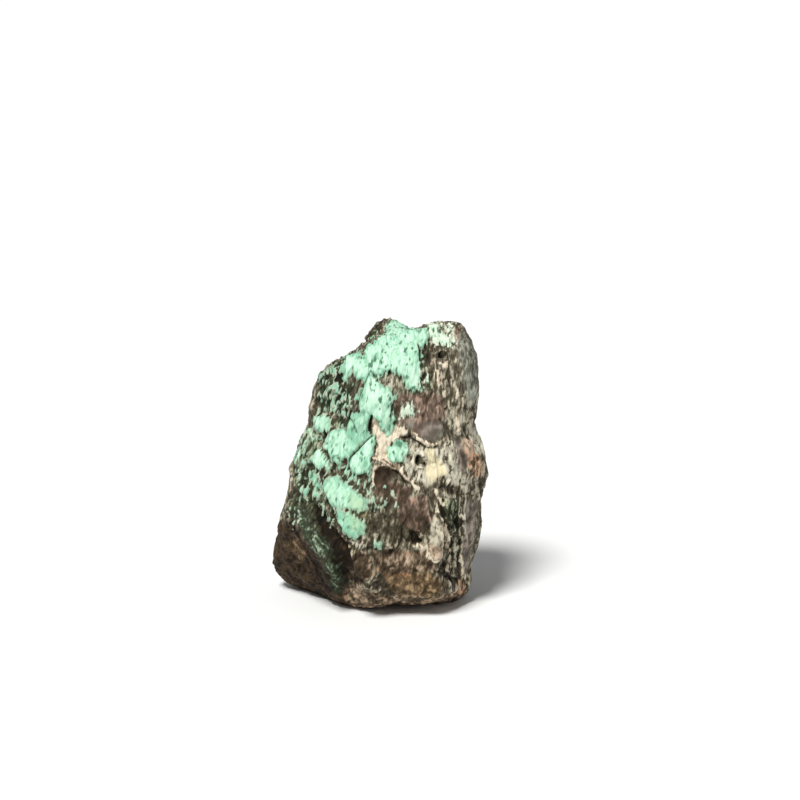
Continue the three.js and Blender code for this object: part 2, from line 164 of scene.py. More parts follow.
# broken crust, chips of it with rock between: how much of it is left, outline
SPECKLED = [
    (0.58, [(-11.9, 3.6), (-10.0, 7.3), (-7.3, 10.2), (-5.0, 11.6), (-3.3, 9.7), (-4.3, 7.6),
        (-4.8, 5.0), (-7.3, 5.0), (-8.5, 2.8), (-7.3, 0.6), (-5.0, -0.2), (-1.4, -1.6), (-1.1, -5.3),
        (-2.0, -6.8), (-5.8, -7.1), (-7.3, -9.1), (-8.6, -7.6), (-8.9, -5.4), (-9.1, -1.6),
        (-11.1, -0.9), (-12.2, 1.4)]),
    (0.54, [(-9.1, 10.7), (-6.6, 12.4), (-5.1, 12.4), (-2.8, 12.6), (-2.1, 11.7), (-4.0, 8.7),
        (-6.6, 7.7), (-9.1, 8.0)]),
    (0.3, [(-2.0, -3.8), (1.8, -3.6), (2.8, -6.0), (0.1, -7.0), (-2.0, -6.8)]),
    (0.62, [(-9.2, 13.2), (-6.7, 14.5), (-4.3, 14.1), (-4.3, 12.3), (-6.1, 11.5), (-8.2, 11.3)]),
    (0.56, [(-11.5, 4.4), (-10.0, 5.8), (-9.4, -0.9), (-10.3, -5.3), (-11.9, -5.4), (-12.8, 0.6)]),
    (0.28, [(-13.9, -5.4), (-11.9, -8.4), (-13.1, -9.9), (-14.1, -7.7)]),
    (0.5, [(5.2, 13.3), (6.3, 14.2), (7.8, 12.5), (7.2, 10.7), (5.0, 10.3)]),
    (0.3, [(7.3, 21.1), (10.5, 20.7), (11.2, 18.7), (9.7, 17.5), (7.7, 18.7)]),
    (0.12, [(-4.4, -12.4), (-3.2, -12.2), (-2.9, -13.9), (-4.1, -14.3)]),
    (0.5, [(-1.1, -11.2), (0.4, -11.2), (0.4, -13.0), (-0.8, -13.0)]),
    (0.5, [(-5.0, 16.4), (-3.4, 16.9), (-3.2, 13.0), (-5.1, 12.6), (-7.3, 14.6)]),
    (0.46, [(-1.8, 17.6), (-0.6, 19.6), (1.0, 21.2), (1.4, 19.6), (-0.4, 17.6)]),
    (0.3, [(9.5, -9.1), (10.8, -9.6), (10.8, -11.8), (9.9, -11.5)]),
    (0.25, [(9.7, -9.8), (11.2, -10.3), (11.3, -14.5), (9.9, -14.4)]),
    (0.36, [(-7.9, -5.3), (-5.1, -7.0), (-5.1, -10.5), (-6.6, -10.5), (-8.5, -8.0)]),
]
# ---------------------------------------------------------------- cream vein and its standing rims
VEIN = [
    [(-0.8, 7.0), (-0.2, 6.7), (0.0, 5.7), (0.5, 5.2), (1.1, 4.3), (1.8, 4.2), (2.4, 5.2), (3.5, 5.3),
     (4.1, 4.9), (4.1, 4.2), (3.1, 3.8), (2.0, 3.3), (1.3, 2.5), (1.0, 1.6), (1.6, 0.7), (2.5, 0.2),
     (3.3, -0.6), (3.2, -1.1), (2.5, -0.6), (1.7, -0.1), (0.9, 0.7), (-0.7, 1.1), (-0.4, 1.9),
     (-0.3, 3.2), (-0.8, 4.3), (-0.9, 5.7)],
]
RIMS = [
    (0.24, [(5.2, 4.5), (5.8, 3.7)]),
    (0.38, [(5.8, 3.7), (6.6, 2.95), (7.7, 2.75)]),
    (0.16, [(7.7, 2.75), (8.9, 2.9), (9.7, 3.8)]),
    (0.2, [(-0.9, 0.9), (0.2, 0.6), (1.2, -0.1), (1.9, -0.8), (2.9, -0.9), (3.8, -2.0), (5.0, -2.9),
        (5.8, -3.8)]),
    (0.2, [(11.3, 7.3), (11.6, 6.2), (11.7, 4.9)]),
    (0.14, [(11.3, 2.4), (11.6, 1.2), (11.7, 0.2)]),
    (0.2, [(9.1, -8.3), (9.2, -10.1), (9.0, -12.0), (9.3, -12.8), (9.1, -13.9), (8.1, -14.4),
        (7.2, -13.6), (7.0, -12.4)]),
    (0.12, [(-0.9, -2.9), (-0.9, -1.3), (-0.4, -0.4), (0.8, -0.2), (1.8, -0.6)]),
    (0.36, [(9.9, -9.5), (10.4, -10.9)]),
    (0.15, [(9.9, -11.5), (10.5, -12.6), (10.7, -13.5), (10.4, -15.1), (10.1, -16.2)]),
    (0.2, [(12.3, -14.0), (12.6, -15.2), (12.8, -16.5), (13.1, -18.0)]),
    (0.2, [(5.2, -12.2), (6.1, -12.0), (6.6, -12.6)]),
    (0.16, [(5.9, -9.8), (6.1, -10.6)]),
    (0.2, [(8.5, 13.7), (8.6, 12.4), (8.9, 11.6)]),
    (0.2, [(9.0, 14.8), (9.6, 14.3), (10.1, 15.0)]),
    (0.13, [(9.5, 10.7), (9.8, 9.3)]),
    (0.13, [(11.7, 10.8), (11.3, 9.6)]),
    (0.14, [(12.5, 9.6), (12.2, 8.7)]),
    (0.12, [(8.1, -3.6), (8.7, -5.2), (9.4, -6.2)]),
    (0.12, [(8.6, -5.4), (8.4, -7.2)]),
]
# ---------------------------------------------------------------- the rock's own places on the front, and painted shade on some
# softness of the edge, how far the place stands up, how much lighter it is (a darker place in a hollow, a
# gap or turned away from the light is painted shade), what stains it, outline
MARKS = [
    # chalky crust on the tongue, the blob and the last chips
    (0.4, 0.0, 0.0, "white", [(6.5, 21.4), (9.0, 22.0), (11.2, 20.3), (12.2, 18.2), (10.8, 16.9),
        (7.8, 17.2), (7.3, 18.8)]),
    (0.4, 0.0, 0.0, "white", [(2.3, 9.3), (4.8, 9.5), (6.2, 7.6), (4.6, 5.8), (2.4, 6.4)]),
    (0.3, 0.0, 0.0, "white", [(5.5, 11.7), (5.9, 12.3), (6.0, 13.7), (7.1, 13.6), (7.5, 12.0),
        (6.5, 10.5), (5.4, 10.6)]),
    (0.4, 0.0, 0.0, "dusty", [(-1.4, -3.8), (1.8, -3.6), (2.8, -6.0), (0.0, -7.4), (-1.4, -6.5)]),
    (0.4, 0.0, 0.0, "dusty", [(-1.1, -11.2), (0.4, -11.2), (0.4, -13.0), (-4.4, -14.5), (-5.0, -12.4)]),
    # sallow crust on the belly
    (1.0, 0.0, 0.0, "yellow", [(-5.1, -3.8), (-2.0, -4.4), (-1.4, -6.5), (-2.4, -10.4), (-4.3, -10.2),
        (-4.9, -6.0)]),
    # streaky rock, top right
    (1.0, 0.0, 0.02, "", [(6.8, 17.5), (13.4, 17.5), (14.7, 9.5), (14.2, 5.1), (10.4, 5.0), (8.9, 9.3),
        (6.7, 13.0)]),
    # streaky rock, low right
    (1.0, 0.0, 0.01, "flecked", [(9.5, -4.6), (14.3, -5.4), (12.7, -18.9), (9.9, -18.9)]),
    # earthy cream ground
    (0.6, 0.0, 0.28, "flecked", [(3.9, 2.9), (6.6, 2.2), (8.5, 2.0), (10.7, 3.5), (11.9, 2.1),
        (12.3, -0.6), (12.0, -3.1), (10.2, -3.0), (8.6, -2.1), (7.4, -3.0), (5.2, -2.4), (3.8, -0.9),
        (3.3, 0.9)]),
    # its yellow heart
    (0.6, 0.0, 0.34, "yellow flecked", [(6.6, 1.9), (7.6, 2.4), (8.3, 1.2), (9.4, 0.2), (9.8, -1.2),
        (8.9, -2.3), (7.4, -2.8), (6.7, -1.2), (7.2, 0.2)]),
    # browner ground between the vein and its rim
    (0.4, 0.0, 0.1, "", [(3.9, 4.6), (5.2, 4.6), (6.2, 3.4), (5.2, 2.6), (4.0, 3.0)]),
    # sunk ground round the vug, a little painted shade in it
    (0.5, -0.3, -0.05, "", [(3.6, 3.1), (5.4, 2.6), (6.5, 1.2), (6.6, -0.9), (4.8, -1.5), (3.6, -0.6),
        (4.1, 1.3)]),
    # hollows below the cream, darkened with painted shade
    (0.4, -0.35, -0.1, "", [(8.6, -2.1), (10.4, -2.2), (10.7, -3.9), (8.9, -4.0)]),
    # sunk eye, darkened with painted shade
    (0.5, -0.6, -0.16, "purple", [(-0.7, -0.9), (0.1, -0.5), (1.5, -0.6), (2.0, -1.8), (1.2, -2.6),
        (-0.2, -2.7)]),
    # below the eye
    (0.5, 0.0, -0.03, "purple", [(-1.0, -2.4), (2.4, -2.7), (4.8, -3.8), (3.8, -6.0), (0.8, -5.3),
        (-0.8, -4.6)]),
    # purple face
    (0.8, -0.35, 0.08, "purple", [(2.0, 9.9), (4.5, 10.2), (7.5, 10.5), (9.5, 9.6), (9.8, 6.5),
        (9.7, 4.7), (8.3, 3.3), (6.0, 3.8), (4.8, 5.0), (3.4, 5.9), (2.3, 7.6)]),
    # its smooth foot
    (0.8, 0.0, 0.0, "smooth", [(5.6, 5.2), (7.1, 6.1), (9.7, 6.1), (9.9, 4.7), (8.3, 3.3), (6.6, 3.8)]),
    # smooth grey spot
    (0.4, 0.0, 0.04, "smooth", [(3.8, 6.4), (5.2, 6.4), (5.4, 5.3), (4.2, 5.0)]),
    # smooth strip by the right edge
    (0.4, 0.0, 0.02, "purple smooth", [(10.9, 4.2), (12.2, 3.5), (13.0, 0.6), (12.6, -1.8),
        (11.3, 0.3)]),
    # centre darkened with painted shade, where the lower half turns away from the light
    (0.8, 0.0, -0.11, "", [(-1.3, -6.0), (2.3, -5.0), (6.7, -6.1), (7.2, -10.5), (3.0, -12.0),
        (-1.4, -9.7)]),
    # brown centre
    (0.6, 0.1, 0.1, "purple", [(2.7, -5.0), (7.2, -4.8), (7.8, -8.3), (6.0, -10.0), (3.0, -8.9)]),
    # groove darkened with painted shade, over an ochre stain
    (0.5, -0.7, -0.36, "ochre", [(-9.4, -6.1), (-8.6, -6.5), (-7.3, -9.1), (-5.1, -12.0), (-4.4, -14.2),
        (-4.9, -17.4), (-6.2, -16.6), (-7.4, -13.6), (-8.6, -11.3), (-9.1, -9.1)]),
    # ridge left of it
    (0.6, 0.5, 0.0, "", [(-12.5, -8.2), (-11.1, -8.6), (-9.5, -10.7), (-7.8, -12.1), (-7.1, -14.3),
        (-5.9, -17.1), (-6.9, -17.5), (-8.6, -14.0), (-10.4, -12.1), (-11.9, -10.1)]),
    # left foot, turned down away from the light: painted shade over an ochre stain
    (0.9, 0.0, -0.2, "ochre", [(-13.0, -8.5), (-17.5, -9.0), (-18.0, -16.0), (-14.0, -20.0),
        (-5.0, -22.5), (-5.6, -17.4), (-8.4, -14.4), (-10.6, -12.1)]),
    # its paler places
    (0.9, 0.0, 0.2, "", [(-12.6, -10.4), (-11.2, -12.2), (-10.6, -14.6), (-13.0, -15.2),
        (-14.2, -12.4)]),
    # bottom
    (0.8, 0.0, 0.05, "peach", [(-5.2, -18.0), (3.0, -20.2), (9.0, -20.3), (14.0, -18.6), (14.0, -23.0),
        (-5.0, -23.5)]),
    # shade right of the crown
    (0.5, -0.2, -0.14, "", [(6.2, 18.2), (7.5, 18.5), (7.8, 16.8), (7.2, 14.5), (6.0, 13.4), (5.5, 14.5),
        (6.0, 16.4)]),
    # sunk gaps, low right, blackened with painted shade
    (0.4, -0.3, -0.14, "", [(9.3, -13.7), (10.5, -14.4), (10.8, -17.4), (9.6, -17.4)]),
    (0.4, -0.3, -0.14, "", [(11.3, -15.7), (12.6, -16.4), (12.5, -18.8), (11.5, -18.1)]),
    # gap left of the crown: painted shade over an olive stain
    (0.4, -0.25, -0.16, "olive", [(-6.8, 15.6), (-5.2, 15.0), (-5.1, 13.5), (-5.4, 11.6), (-4.9, 9.9),
        (-6.1, 9.5), (-7.0, 10.9), (-7.3, 13.2)]),
    # gap between the plates: painted shade over an olive stain
    (0.4, -0.3, -0.14, "olive", [(-5.7, 8.0), (-4.9, 7.9), (-4.3, 6.4), (-5.1, 5.3), (-6.5, 5.0),
        (-6.9, 6.5)]),
    # gap by the slit
    (0.4, -0.3, 0.0, "", [(-2.5, 7.9), (-1.1, 7.6), (-1.1, 4.1), (-1.9, 4.1)]),
    # below the middle plate
    (0.4, -0.2, 0.0, "purple", [(-6.1, 0.3), (-4.6, 0.6), (-4.3, -1.5), (-5.5, -1.8)]),
    # belly
    (0.5, 0.35, -0.1, "", [(-8.4, -1.8), (-5.1, -1.8), (-2.0, -4.7), (-2.0, -6.8), (-2.3, -9.4),
        (-3.8, -10.9), (-5.8, -9.7), (-6.4, -6.5), (-8.1, -4.1)]),
    # nodule
    (0.4, 0.35, 0.1, "", [(7.3, -8.3), (8.9, -8.0), (9.4, -10.6), (9.3, -13.7), (8.1, -14.5),
        (7.0, -13.6), (7.3, -11.2)]),
    # its head
    (0.4, 0.0, 0.1, "", [(7.5, -8.1), (8.9, -8.2), (9.2, -10.6), (8.9, -11.7), (7.6, -11.7),
        (7.3, -10.0)]),
    # its foot
    (0.3, 0.0, 0.26, "peach", [(7.0, -12.0), (9.1, -12.1), (9.1, -13.7), (8.1, -14.4), (7.0, -13.6)]),
    # rim right of the lower vug
    (0.3, 0.2, 0.2, "", [(5.8, -10.1), (6.5, -11.3), (6.7, -12.6), (4.9, -12.8), (5.0, -12.0),
        (6.0, -11.7)]),
    # lower vug, darkened with painted shade
    (0.3, -0.5, -0.1, "", [(4.6, -9.7), (5.7, -10.1), (6.1, -11.4), (5.3, -11.8), (4.5, -10.9)]),
    # pink flecks
    (0.5, 0.0, 0.04, "flecked", [(-5.4, -10.5), (-2.9, -10.5), (-1.1, -11.9), (-1.4, -13.4),
        (-4.4, -13.0), (-5.5, -12.0)]),
    # knob
    (0.4, 0.3, 0.0, "", [(-4.4, -12.4), (-3.2, -12.2), (-2.9, -13.9), (-4.1, -14.3)]),
    # reddish rock, bottom
    (0.5, 0.0, 0.0, "peach", [(-1.1, -12.4), (7.4, -13.1), (8.4, -15.7), (3.0, -16.6), (-1.1, -16.0)]),
    (0.4, 0.1, 0.04, "", [(0.9, -13.6), (3.0, -13.6), (3.0, -16.0), (1.2, -15.7)]),
    (0.4, 0.1, 0.12, "", [(3.9, -13.6), (5.7, -14.0), (5.7, -16.2), (4.2, -16.2)]),
    # ochre
    (0.9, 0.1, 0.04, "ochre", [(0.8, -16.4), (7.5, -16.0), (9.9, -18.1), (9.0, -20.2), (3.0, -19.8),
        (1.0, -18.7)]),
    # lumps on the right edge
    (0.5, 0.15, 0.18, "peach", [(12.4, 4.0), (13.8, 3.5), (14.4, 1.8), (13.2, 0.5), (12.2, 2.0)]),
    # rust on the right edge
    (0.4, 0.1, 0.16, "rust flecked", [(13.5, 1.7), (15.0, 1.3), (15.3, -1.7), (14.1, -1.8),
        (13.4, -0.2)]),
    # rust at the foot
    (0.4, 0.0, 0.05, "rust", [(11.8, -17.8), (13.0, -17.9), (12.6, -19.1), (12.1, -19.7)]),
    # top left
    (0.8, 0.0, -0.1, "olive dusty", [(-8.6, 14.2), (-5.1, 15.7), (-4.0, 11.6), (-4.9, 7.6), (-9.1, 7.7),
        (-9.4, 11.8)]),
    # pale streaks above the cream
    (0.5, 0.0, 0.12, "", [(10.2, 7.2), (11.6, 7.8), (12.8, 6.6), (12.8, 4.3), (10.9, 4.0), (10.1, 5.2)]),
    # pale edge by the waist
    (0.5, 0.0, 0.28, "", [(13.0, 5.6), (15.8, 5.2), (15.8, 1.2), (14.2, 1.6)]),
    # pale streaks below the waist
    (0.5, 0.0, 0.18, "", [(12.0, -2.0), (14.9, -1.8), (15.0, -5.2), (12.7, -5.0)]),
    # smooth edge, low right
    (0.6, 0.0, 0.1, "purple smooth", [(12.9, -5.4), (14.8, -5.6), (14.2, -12.0), (13.3, -17.0),
        (12.5, -16.0), (12.7, -10.0)]),
    # pale streaks at the shoulder's edge
    (0.6, 0.0, 0.12, "", [(12.9, 11.4), (15.4, 11.2), (15.2, 8.2), (13.2, 8.4)]),
    # brightest crust
    (1.0, 0.0, 0.16, "", [(2.9, 15.2), (5.6, 15.4), (6.1, 13.0), (5.2, 10.6), (3.6, 11.8)]),
    (1.0, 0.0, 0.16, "", [(-1.2, 12.0), (1.2, 11.2), (2.2, 8.6), (0.6, 6.9), (-1.8, 7.6)]),
    # rounder shoulder
    (0.9, 0.35, 0.0, "", [(10.3, 20.6), (12.4, 21.0), (13.8, 18.6), (13.2, 17.4), (11.4, 18.4)]),
    # worn shoulder
    (1.0, 0.0, 0.08, "smooth", [(10.9, 19.3), (12.8, 19.8), (14.1, 18.2), (14.6, 15.0), (14.9, 9.8),
        (13.4, 8.7), (12.3, 11.6), (11.7, 16.0)]),
    # leaning plate, darker than the rest with painted shade
    (0.5, 0.0, -0.2, "", [(-4.9, 7.2), (-3.0, 7.7), (-1.5, 7.2), (-1.9, 4.2), (-3.4, 3.2), (-4.8, 4.6)]),
    # small plate, likewise darkened with painted shade
    (0.5, 0.0, -0.08, "", [(1.3, 3.3), (4.1, 3.5), (4.2, 0.6), (2.0, 0.1)]),
    # foot of the belly, darkened with painted shade where it turns down
    (0.8, 0.0, -0.14, "", [(-6.4, -6.9), (-3.9, -7.3), (-2.3, -8.4), (-2.7, -10.9), (-5.9, -10.2)]),
    # shade on the left
    (0.6, 0.0, -0.22, "", [(-12.8, -0.6), (-9.1, -0.3), (-7.6, -1.2), (-7.9, -3.3), (-11.9, -4.5)]),
    # shade right of the crown's foot
    (0.5, 0.0, -0.1, "", [(6.6, 16.4), (8.1, 16.8), (8.8, 13.5), (7.1, 12.6)]),
    # shade by the groove's foot
    (0.6, 0.0, -0.14, "peach", [(-5.0, -12.0), (-2.0, -13.0), (-1.1, -16.4), (-3.5, -18.1),
        (-5.3, -15.8)]),
    # left edge
    (0.8, 0.0, 0.1, "olive dusty", [(-11.4, 4.6), (-9.1, 5.1), (-8.8, -0.9), (-9.8, -5.4), (-12.2, -5.4),
        (-13.1, -0.9)]),
    # broken crust on the left
    (0.8, 0.0, 0.0, "dusty", [(-10.1, 10.7), (-7.3, 14.6), (-3.1, 11.6), (-4.0, 7.2), (-7.3, 3.6),
        (-5.1, -2.4), (-1.1, -2.4), (-0.5, -8.2), (-2.9, -12.4), (-6.6, -11.2), (-9.1, -8.3),
        (-11.9, -5.4), (-13.2, 0.5)]),
    # olive rock, left
    (0.8, 0.0, -0.16, "olive", [(-13.7, -3.9), (-10.0, -4.2), (-8.8, -8.3), (-9.7, -10.7), (-11.9, -8.4),
        (-13.7, -6.9)]),
    # dark green rock, right
    (0.5, 0.0, -0.18, "olive", [(8.7, -5.0), (11.7, -5.4), (12.4, -9.9), (9.9, -9.8), (8.9, -7.6)]),
    # shade left of the crown's top
    (0.5, -0.2, -0.14, "olive", [(-1.2, 20.4), (0.1, 21.6), (-0.5, 19.3), (-2.2, 17.7)]),
    # top back
    (0.5, 0.0, 0.28, "white", [(7.1, 21.0), (9.1, 21.4), (10.5, 19.8), (9.7, 17.5), (7.8, 18.3)]),
    # pink beside the tongue
    (0.4, 0.0, 0.12, "peach", [(10.8, 19.8), (12.1, 20.2), (12.4, 18.6), (11.2, 18.0)]),
    # pink below the crown
    (0.4, 0.0, 0.12, "", [(0.1, 12.5), (2.1, 13.7), (2.7, 12.3), (1.3, 11.1)]),
    # pink left of the crown
    (0.4, -0.1, 0.06, "peach", [(-0.2, 20.3), (1.3, 20.9), (1.6, 18.9), (0.1, 18.3)]),
    # pale strokes
    (0.4, 0.1, 0.04, "", [(9.8, 9.1), (11.0, 8.6), (11.3, 4.7), (10.4, 4.7)]),
]
# ---------------------------------------------------------------- crust on the other sides
# On the back, across runs the other way. A clump is a place in millimetres from the heart, and a size.
BACK_CRUST = [
    [(9.5, 12.0), (6.0, 15.5), (1.5, 14.0), (0.5, 10.0), (3.5, 8.5), (8.0, 7.5)],
    [(10.5, 3.0), (7.0, 5.0), (5.0, 3.0), (6.0, 0.5), (9.8, -0.5)],
    [(-3.0, -6.0), (-0.5, -5.0), (0.8, -8.0), (-1.5, -10.5), (-4.5, -9.0)],
]
BACK_VEIN = [
    (0.4, [(10.5, -0.8), (8.2, -2.6), (5.0, -2.2), (3.4, -3.6)]),
    (0.22, [(3.4, -3.6), (2.6, -6.5), (3.6, -9.2)]),
    (0.26, [(0.8, -3.0), (-2.2, -2.0), (-4.4, -4.6), (-7.5, -4.2)]),
    (0.5, [(-8.6, -5.6), (-10.8, -3.4), (-12.6, -3.8)]),
]
BACK_PITS = [
    (6.8, 6.6, 0.6, 0.7), (2.4, 2.2, 0.45, 0.6), (-5.6, 4.4, 0.7, 0.8), (-6.2, 3.6, 0.4, 0.6),
    (4.4, -12.4, 0.5, 0.6), (-2.6, -13.8, 0.6, 0.5), (-9.4, 11.2, 0.5, 0.6), (9.0, -6.4, 0.5, 0.6),
    (-7.8, -9.6, 0.4, 0.5),
]
CLUMPS = [
    ((2.5, 4.5, 20.0), (4.0, 3.5, 3.0)),
    ((-12.0, 2.0, 4.0), (2.5, 3.5, 3.5)),
    ((-13.0, 3.5, -7.0), (2.5, 3.0, 4.5)),
    ((15.0, 4.0, -3.0), (2.5, 2.5, 3.5)),
    ((14.0, 2.0, 12.0), (2.5, 2.5, 2.0)),
]


def ramp(value, low, high):
    """0 below low and 1 above high, with a smooth rise between them."""
    share = np.clip((value - low) / (high - low), 0, 1)
    return share * share * (3 - 2 * share)


def falloff(distance, width):
    """1 where the distance is nothing, dying away smoothly to either side."""
    return np.exp(-(distance / width) ** 2)


def from_line(points, line):
    """Distance from each point to a line of straight runs."""
    corners = np.array(line, float)
    nearest = np.full(len(points), 1e9)
    for start, end in zip(corners[:-1], corners[1:]):
        run = end - start
        offset = points - start
        along = np.clip(offset @ run / (run @ run), 0, 1)
        gap = offset - along[:, None] * run
        nearest = np.minimum(nearest, np.hypot(gap[:, 0], gap[:, 1]))
    return nearest


def into_outline(points, outline):
    """Distance from each point to a closed outline, positive inside it."""
    gap = from_line(points, outline + outline[:1])
    inside = np.zeros(len(points), bool)
    for start, end in zip(outline, outline[1:] + outline[:1]):
        between = (start[1] > points[:, 1]) != (end[1] > points[:, 1])
        rise = end[1] - start[1] or 1e-9
        meets = start[0] + (points[:, 1] - start[1]) / rise * (end[0] - start[0])
        inside ^= between & (points[:, 0] < meets)
    return np.where(inside, gap, -gap)


def into_any(points, outlines):
    """Distance into whichever of the outlines a point is deepest in."""
    return np.max([into_outline(points, outline) for outline in outlines], axis=0)


def into_lines(points, lines):
    """Distance into whichever of the lines, each with its half width, a point is deepest in."""
    return np.max([width - from_line(points, line) for width, line in lines], axis=0)


def cloud(points, size, shift):
    """Smooth noise from about -1 to 1 whose lumps are size millimetres across, along each direction."""
    scaled = points / np.array(size, float) + shift
    return np.array([noise.noise(Vector(p)) for p in scaled])


def chips(points, size, shift):
    """Broken facets: how far each point stands out on its own leaning chip, and the gap to the next."""
    out = np.zeros(len(points))
    gap = np.zeros(len(points))
    for number, spot in enumerate(points / np.array(size, float) + shift):
        away, middles = noise.voronoi(Vector(spot))
        tilt = noise.cell_vector(middles[0] * CHIP_SEED) - Vector((0.5, 0.5, 0.5))
        out[number] = (Vector(spot) - middles[0]).dot(tilt)
        gap[number] = away[1] - away[0]
    return out, gap


def select_only(piece):
    bpy.ops.object.select_all(action="DESELECT")
    piece.select_set(True)
    bpy.context.view_layer.objects.active = piece


def apply(piece, kind, **settings):
    """Puts a modifier on the piece and applies it."""
    modifier = piece.modifiers.new(kind.title(), kind)
    for name, value in settings.items():
        setattr(modifier, name, value)
    select_only(piece)
    bpy.ops.object.modifier_apply(modifier=modifier.name)


def places(piece):
    """The piece's vertices, in millimetres."""
    flat = np.zeros(len(piece.data.vertices) * 3, np.float32)
    piece.data.vertices.foreach_get("co", flat)
    return flat.reshape(-1, 3).astype(float) / MM


def directions(piece):
    """Which way each vertex faces."""
    flat = np.zeros(len(piece.data.vertices) * 3, np.float32)
    piece.data.vertex_normals.foreach_get("vector", flat)
    return flat.reshape(-1, 3).astype(float)


def weigh(piece, name, weights):
    """Keeps one weight a vertex in a vertex group, for a modifier to follow."""
    group = piece.vertex_groups.new(name=name)
    for number, weight in enumerate(weights):
        if weight > 0:
            group.add([number], float(weight), "REPLACE")


def keep_mask(piece, name, values):
    """Stores one number a vertex for the material to read."""
    attribute = piece.data.attributes.new(name, "FLOAT", "POINT")
    attribute.data.foreach_set("value", values.astype(np.float32))


# ---------------------------------------------------------------- the stone's fine mesh
# The solid is copied, its loose triangles are merged, and it is resampled on an even grid and smoothed.
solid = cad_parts["chrysocolla_specimen"]
stone = bpy.data.objects.new("chrysocolla_stone", solid.data.copy())
bpy.context.scene.collection.objects.link(stone)
stone.data.materials.clear()
select_only(stone)
bpy.ops.object.mode_set(mode="EDIT")
bpy.ops.mesh.select_all(action="SELECT")
bpy.ops.mesh.remove_doubles(threshold=0.002 * MM)
bpy.ops.mesh.normals_make_consistent(inside=False)
bpy.ops.object.mode_set(mode="OBJECT")
apply(stone, "REMESH", mode="VOXEL", voxel_size=VOXEL * MM, use_smooth_shade=True)
apply(stone, "SMOOTH", factor=0.5, iterations=FACET_SMOOTHING)

# Its base is pressed flat again.
place = places(stone)
for vertex, height in zip(stone.data.vertices, place[:, 2]):
    vertex.select = bool(height < BASE_FLAT)
bpy.ops.object.mode_set(mode="EDIT")
bpy.ops.transform.resize(value=(1, 1, 0), center_override=(0, 0, 0))
bpy.ops.object.mode_set(mode="OBJECT")

# ---------------------------------------------------------------- where each vertex lies
place = places(stone)
facing = directions(stone)
from_heart = place - HEART
depth = from_heart @ TOWARDS
face = np.stack([from_heart @ ACROSS, from_heart @ UP], axis=1)
rear = np.stack([-from_heart[:, 0], from_heart[:, 2]], axis=1)
front = np.maximum(ramp(depth, *FRONT_FADE), ramp(facing @ TOWARDS, *FACING_FADE))
back = ramp(from_heart[:, 1], *BACK_FADE)
elsewhere = 1 - front

# The grain runs up the stone and leans, more on the left than on the right. It is drawn out in depth.
LEAN = 0.17
LEAN_CHANGE = -0.012
GRAIN_DEPTH = 0.6
sheared = (LEAN + LEAN_CHANGE * from_heart[:, 0]) * from_heart[:, 2]
grain = np.stack([from_heart[:, 0] - sheared, GRAIN_DEPTH * from_heart[:, 1], from_heart[:, 2]], axis=1)

# The strands of the thin dull crust run down its ridge.
RIDGE_SIDE = np.array([0.86, 0.51])
RIDGE_DOWN = np.array([0.51, -0.86])
along_ridge = np.stack([face @ RIDGE_SIDE, face @ RIDGE_DOWN, depth], axis=1)

# ---------------------------------------------------------------- ragged edges
# Each cloud has its strength in front, the size of its lumps, and a shift that makes it unlike the others.
fray = 0.43 * cloud(grain, (0.45, 0.45, 1.0), 1.1) + 0.32 * cloud(grain, (1.1, 1.1, 1.8), 7.3)
fleck = 0.32 * cloud(grain, (0.26, 0.26, 0.6), 13.9)
BEND = 0.5                  # the outlines' straight runs are bent by up to a share of this
BEND_SIZE = (2.2, 2.2, 2.2)
drift = np.stack([BEND * cloud(from_heart, BEND_SIZE, shift) for shift in (3.1, 9.7)], axis=1)
loose_face = face + 0.6 * drift
close_face = face + 0.3 * drift

# ---------------------------------------------------------------- how far into the crust each vertex is
# Zero is the crust's edge, and more is inside it. Outlines on the front or the back fade with that side.
FAR = -3.0                  # stands for well outside
front_limit = FAR * elsewhere
back_limit = FAR * (1 - back)
plates = into_any(face, CRUST) + CRUST_SPREAD

# A moat of rock runs round the plates, and crumbs of crust lie beyond it.
MOAT_DEPTH = 0.5
MOAT_MIDDLE = -0.35
MOAT_WIDTH = 0.3
CRUMB_BAR = 0.68            # crumbs are where their cloud rises above this
moat = MOAT_DEPTH * falloff(plates - MOAT_MIDDLE, MOAT_WIDTH)
crumbs = 0.5 * cloud(grain, (0.42, 0.45, 1.2), 21.7) + 0.32 * cloud(grain, (1.3, 1.3, 2.0), 31.1)
crust = plates
for left, outline in SPECKLED:
    within = np.minimum(into_outline(loose_face, outline), 0.0)
    crust = np.maximum(crust, crumbs + within + left - CRUMB_BAR - moat)
crust = crust + front_limit * 1.5

# Patches on the other sides: outlined, clumped or scattered, partly worn away and crumbling at their edges.
WORN = 2.5                  # how hard the outlined patches are worn
PATCH_BAR = 1.15            # scattered patches are where their cloud rises above this
off_the_front = 2 * front
lost = ramp(cloud(grain, (2.0, 2.0, 3.2), 15.3), 0.12, 0.4)
crust_back = into_any(rear + 2 * drift, BACK_CRUST) - WORN * lost + back_limit
clumps = np.full(len(place), FAR)
for centre, size in CLUMPS:
    offset = from_heart + 2 * drift[:, [0, 1, 0]] - np.array(centre)
    reach = np.linalg.norm(offset / np.array(size), axis=1)
    clumps = np.maximum(clumps, (1 - reach) * min(size))
scatter = 2.2 * cloud(grain, (2.6, 2.6, 3.6), 5.5) - PATCH_BAR
patches = np.max([crust_back, clumps - 0.3, scatter], axis=0) - off_the_front
crumbling = crumbs + 0.5 * np.minimum(patches, 0) - 0.2 - off_the_front
crust = np.max([crust, patches, crumbling], axis=0) + fray + fleck
neat = into_any(face, NEAT_CRUST) + NEAT_SPREAD + 0.45 * fray + 0.7 * fleck + front_limit
crust = np.maximum(crust, neat)

# ---------------------------------------------------------------- how far into the dull crust and the vein
strips = 0.55 * cloud(along_ridge, (0.42, 1.7, 0.9), 17.9) + 0.4 * cloud(along_ridge, (1.0, 2.8, 1.6), 23.3)
into_sage = into_any(face, SAGE)
sage = np.minimum(into_sage + fray, strips + 0.3 * into_sage - 0.16 + 1.4 * fleck) + front_limit

